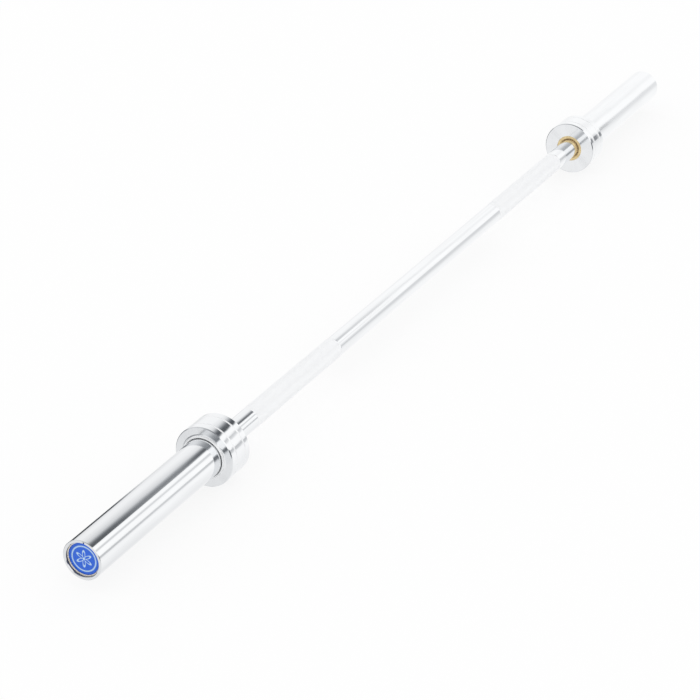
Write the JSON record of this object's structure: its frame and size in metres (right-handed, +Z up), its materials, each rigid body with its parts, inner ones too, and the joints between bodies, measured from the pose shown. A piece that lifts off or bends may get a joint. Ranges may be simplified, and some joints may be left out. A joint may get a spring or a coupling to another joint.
{
  "type": "olympic barbell",
  "caption": "Short olympic barbell: chromed shaft with knurled grips, and collared sleeves that turn on bronze bushings and are closed by snap-ringed end caps.",
  "frame": {"origin": "middle of the bar, on its axis", "axes": "+X along the bar towards the right-hand sleeve, +Z up"},
  "size_m": [1.676, 0.0784, 0.0784],
  "materials": {
    "shaft_chrome": "bright chrome on the plain stretches, satin on the knurled bands",
    "sleeve_chrome": "bright chrome with faint turning marks",
    "collar_chrome": "bright chrome rim, satin faces",
    "bronze": "turned bronze",
    "washer_steel": "plain ground steel",
    "spring_steel": "bright spring steel with a warm tint",
    "cap_steel": "plain turned steel",
    "blue_enamel": null
  },
  "bodies": {
    "shaft": {"shaft": "shaft_chrome", "outer_thrust_washer_left": "washer_steel", "shaft_retaining_ring_left": "spring_steel", "outer_thrust_washer_right": "washer_steel", "shaft_retaining_ring_right": "spring_steel"},
    "left_sleeve": {"sleeve_tube_left": "sleeve_chrome", "collar_left": "collar_chrome", "inner_bushing_left": "bronze", "outer_bushing_left": "bronze", "shoulder_washer_left": "washer_steel", "end_cap_left": "cap_steel", "end_disc_left": "blue_enamel", "end_cap_snap_ring_left": "spring_steel"},
    "right_sleeve": {"sleeve_tube_right": "sleeve_chrome", "collar_right": "collar_chrome", "inner_bushing_right": "bronze", "outer_bushing_right": "bronze", "shoulder_washer_right": "washer_steel", "end_cap_right": "cap_steel", "end_disc_right": "blue_enamel", "end_cap_snap_ring_right": "spring_steel"}
  },
  "joints": [
    {"name": "left_sleeve_spin", "type": "hinge", "parent": "shaft", "child": "left_sleeve", "pos_m": [-0.70635, 0, 0], "axis": [1, 0, 0], "continuous": true},
    {"name": "right_sleeve_spin", "type": "hinge", "parent": "shaft", "child": "right_sleeve", "pos_m": [0.70635, 0, 0], "axis": [1, 0, 0], "continuous": true}
  ]
}
